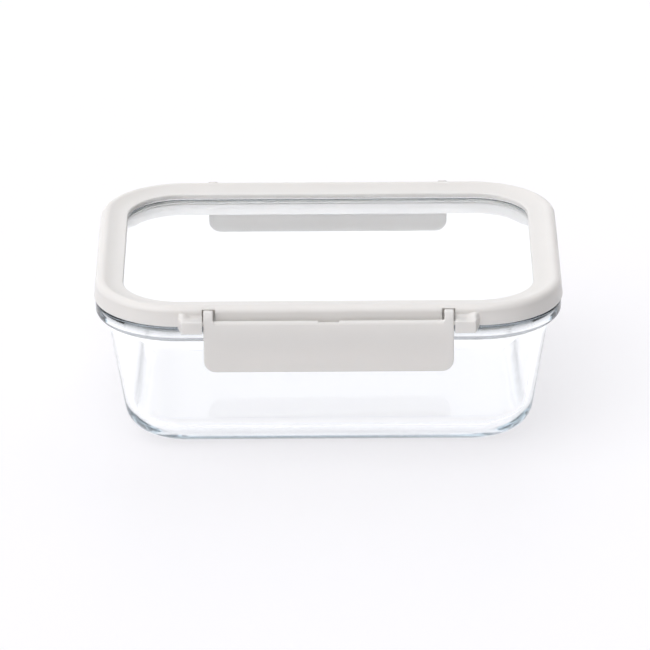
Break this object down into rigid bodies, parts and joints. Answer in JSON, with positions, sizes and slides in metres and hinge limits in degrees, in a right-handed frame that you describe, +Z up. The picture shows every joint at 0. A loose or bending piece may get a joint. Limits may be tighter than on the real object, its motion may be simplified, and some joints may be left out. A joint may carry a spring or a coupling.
{
  "type": "snap lid food container",
  "caption": "Rectangular glass food storage container with a flat window lid, a silicone seal and wide hinged snap latches along its long sides.",
  "frame": {"origin": "middle of the flat base, on the surface the bowl stands on", "axes": "+X along the long side, +Y from the front latch to the rear latch, +Z up out of the bowl"},
  "size_m": [0.2012, 0.1608, 0.0715],
  "materials": {
    "bowl_glass": "clear pressed glass with a faint cool tint at its edges",
    "lid_plastic": "warm off-white satin polypropylene",
    "inner_ring_plastic": "pale grey-white satin polypropylene",
    "window_glass": "clear flat glass",
    "window_silicone": "translucent white silicone",
    "gasket_silicone": "translucent white silicone",
    "latch_plastic": "warm off-white satin polypropylene"
  },
  "bodies": {
    "bowl": {"glass_bowl": "bowl_glass"},
    "lid": {"lid_frame": "lid_plastic", "lid_inner_ring": "inner_ring_plastic", "lid_window": "window_glass", "window_seal": "window_silicone", "lid_gasket": "gasket_silicone"},
    "front_latch": {"front_latch": "latch_plastic"},
    "rear_latch": {"rear_latch": "latch_plastic"}
  },
  "joints": [
    {"name": "lid_lift", "type": "slide", "parent": "bowl", "child": "lid", "axis": [0, 0, 1], "range_m": [0, 0.072]},
    {"name": "front_latch_hinge", "type": "hinge", "parent": "lid", "child": "front_latch", "pos_m": [0, -0.0775, 0.0649], "axis": [-1, 0, 0], "range_deg": [0, 95]},
    {"name": "rear_latch_hinge", "type": "hinge", "parent": "lid", "child": "rear_latch", "pos_m": [0, 0.0775, 0.0649], "axis": [1, 0, 0], "range_deg": [0, 95]}
  ]
}
